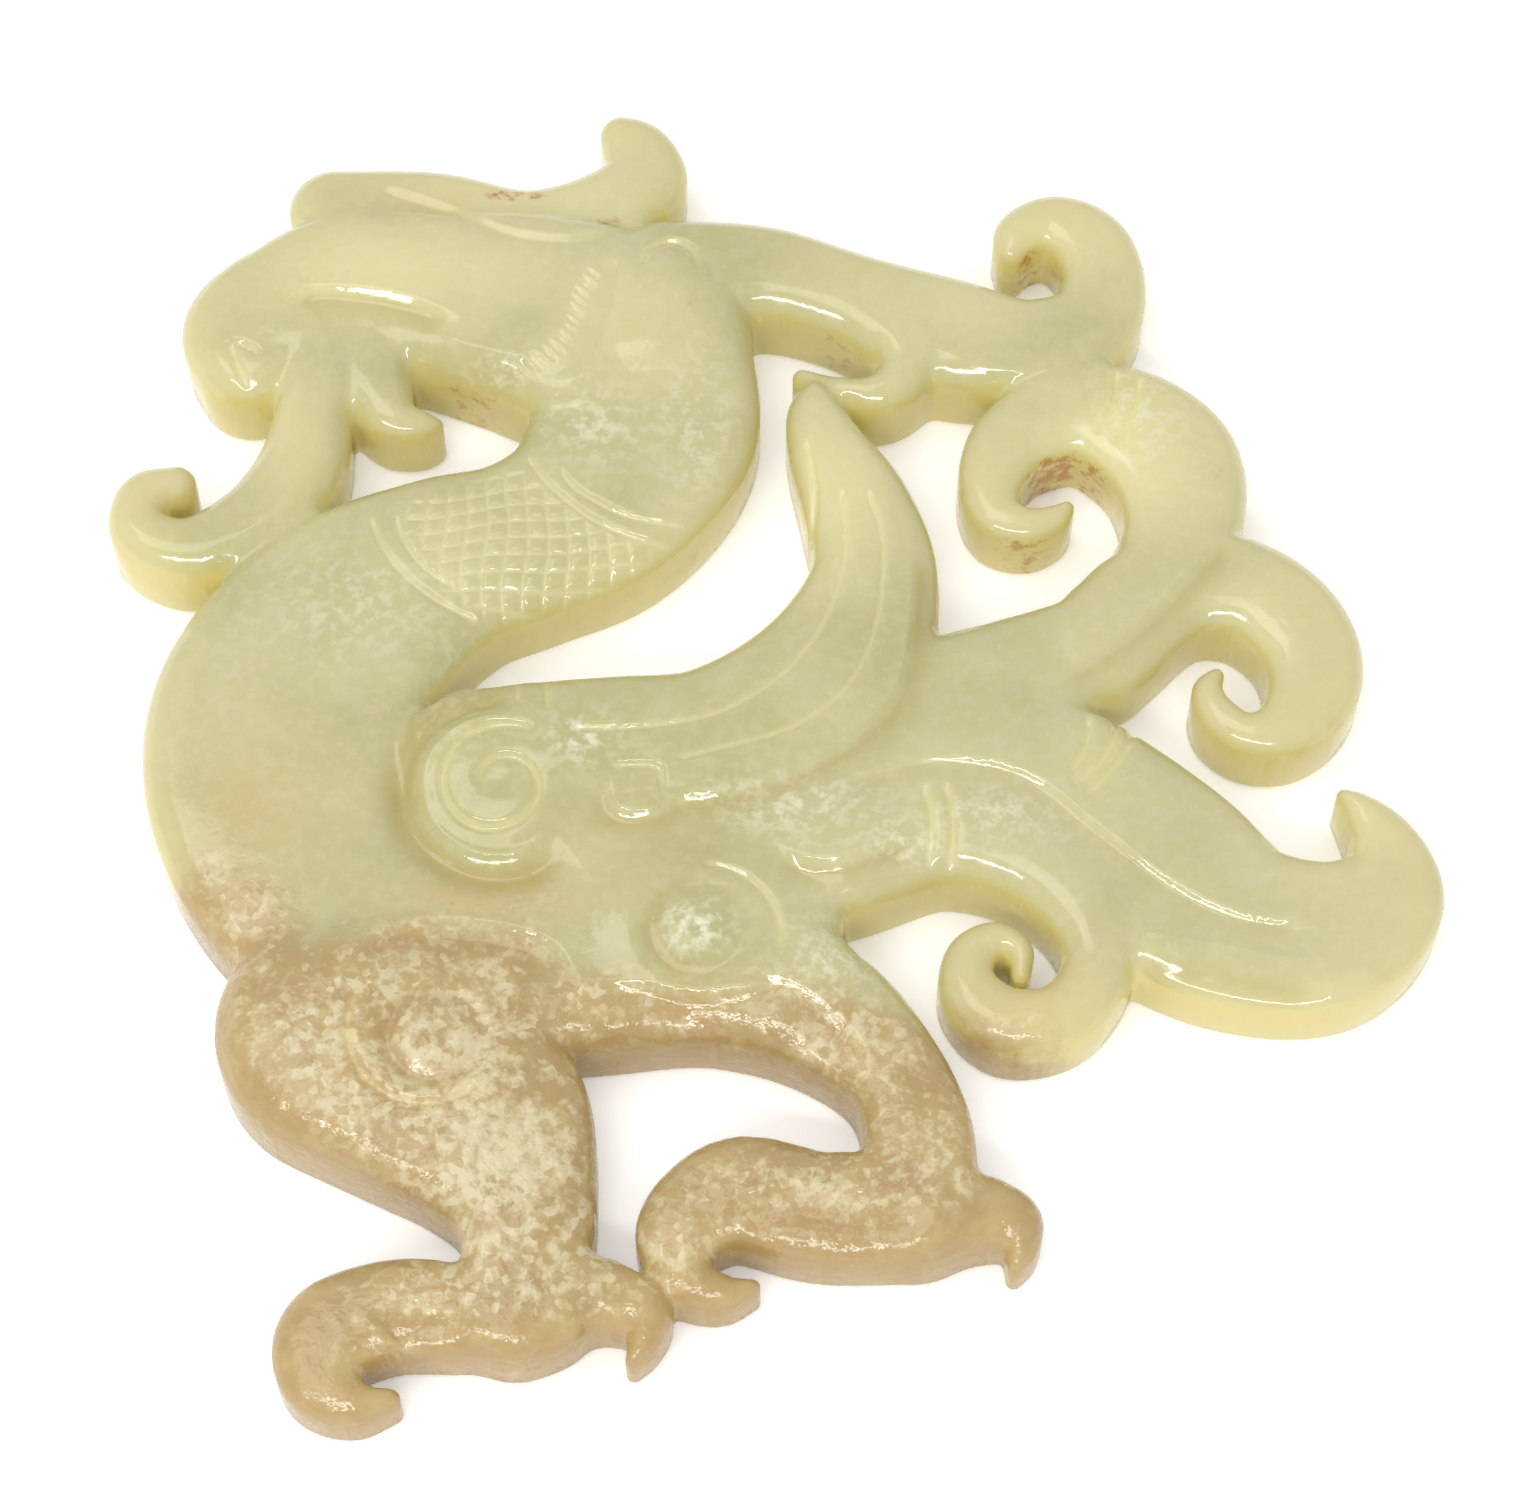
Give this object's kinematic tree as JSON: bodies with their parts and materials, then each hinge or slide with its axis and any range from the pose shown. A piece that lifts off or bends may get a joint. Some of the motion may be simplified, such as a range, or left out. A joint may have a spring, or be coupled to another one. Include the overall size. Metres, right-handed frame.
{
  "type": "jade carving",
  "caption": "Openwork plaque of polished stone carved as a winged, crested beast with scrolled mane and tail; it lies on its flat back with the carved face up.",
  "frame": {"origin": "middle of the outline's box, on the flat back", "axes": "+Z out of the carved face, +Y towards the crest; the beast looks towards -X"},
  "size_m": [0.0692, 0.0776, 0.006],
  "materials": {
    "jade": "polished, slightly translucent"
  },
  "bodies": {
    "root": {"jade_carving": "jade"}
  },
  "joints": []
}
